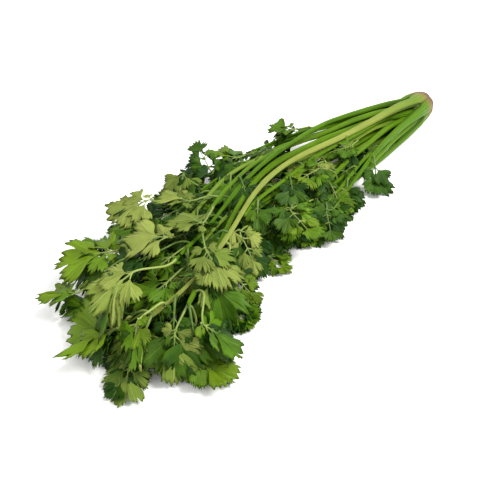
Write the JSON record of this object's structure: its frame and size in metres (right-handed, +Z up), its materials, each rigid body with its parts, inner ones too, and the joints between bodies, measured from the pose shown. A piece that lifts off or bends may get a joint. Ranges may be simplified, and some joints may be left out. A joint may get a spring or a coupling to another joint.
{
  "type": "head of leaf celery",
  "caption": "Head of leaf celery lying flat: slim ribbed green stalks fan out from one trimmed crown and end in toothed, lobed leaves.",
  "frame": {"origin": "middle of the underside of the head's bounding box, on the surface that the head lies on", "axes": "+X along the head from the cut crown to the leaf tips, +Y across the head, +Z up from the surface"},
  "size_m": [0.5074, 0.212, 0.0587],
  "materials": {
    "crown": "matt living plant tissue: pale green to cream with a brown dried cut and rim",
    "outer_stalk": "smooth moist green plant skin with lengthwise ribs, soft gloss",
    "inner_stalk": "smooth moist yellow-green plant skin with fine lengthwise ribs, soft gloss",
    "heart_stalk": "smooth pale yellow-green plant skin, soft gloss",
    "leaf": "thin mid to dark green leaf blade, slightly glossy above with sunken veins",
    "leaf_underside": "matt pale olive-green leaf underside with raised veins"
  },
  "bodies": {
    "root": {"crown": "crown", "heart_side_leaf_1": "leaf", "heart_side_leaf_2": "leaf_underside", "heart_stalk": "heart_stalk", "heart_tip_leaf": "leaf_underside", "inner_1_side_leaf_1": "leaf_underside", "inner_1_side_leaf_2": "leaf_underside", "inner_1_tip_leaf": "leaf_underside", "inner_2_side_leaf_1": "leaf", "inner_2_tip_leaf": "leaf", "inner_3_side_leaf_1": "leaf", "inner_3_tip_leaf": "leaf_underside", "inner_4_side_leaf_1": "leaf", "inner_4_side_leaf_2": "leaf", "inner_4_side_leaf_3": "leaf", "inner_4_tip_leaf": "leaf", "inner_5_side_leaf_1": "leaf", "inner_5_side_leaf_2": "leaf", "inner_5_side_leaf_3": "leaf_underside", "inner_5_tip_leaf": "leaf_underside", "inner_stalk_1": "inner_stalk", "inner_stalk_2": "inner_stalk", "inner_stalk_3": "inner_stalk", "inner_stalk_4": "inner_stalk", "inner_stalk_5": "inner_stalk", "outer_1_side_leaf_1": "leaf_underside", "outer_1_side_leaf_2": "leaf", "outer_1_side_leaf_3": "leaf_underside", "outer_1_side_leaf_4": "leaf", "outer_1_side_leaf_5": "leaf_underside", "outer_1_tip_leaf": "leaf", "outer_2_side_leaf_1": "leaf", "outer_2_side_leaf_2": "leaf", "outer_2_side_leaf_3": "leaf", "outer_2_tip_leaf": "leaf_underside", "outer_3_side_leaf_1": "leaf", "outer_3_side_leaf_2": "leaf", "outer_3_side_leaf_3": "leaf", "outer_3_side_leaf_4": "leaf", "outer_3_side_leaf_5": "leaf", "outer_3_tip_leaf": "leaf_underside", "outer_4_side_leaf_1": "leaf", "outer_4_side_leaf_2": "leaf_underside", "outer_4_side_leaf_3": "leaf", "outer_4_tip_leaf": "leaf", "outer_5_side_leaf_1": "leaf", "outer_5_side_leaf_2": "leaf", "outer_5_side_leaf_3": "leaf", "outer_5_tip_leaf": "leaf", "outer_6_side_leaf_1": "leaf", "outer_6_tip_leaf": "leaf", "outer_7_side_leaf_1": "leaf", "outer_7_tip_leaf": "leaf", "outer_stalk_1": "outer_stalk", "outer_stalk_2": "outer_stalk", "outer_stalk_3": "outer_stalk", "outer_stalk_4": "outer_stalk", "outer_stalk_5": "outer_stalk", "outer_stalk_6": "outer_stalk", "outer_stalk_7": "outer_stalk"}
  },
  "joints": []
}
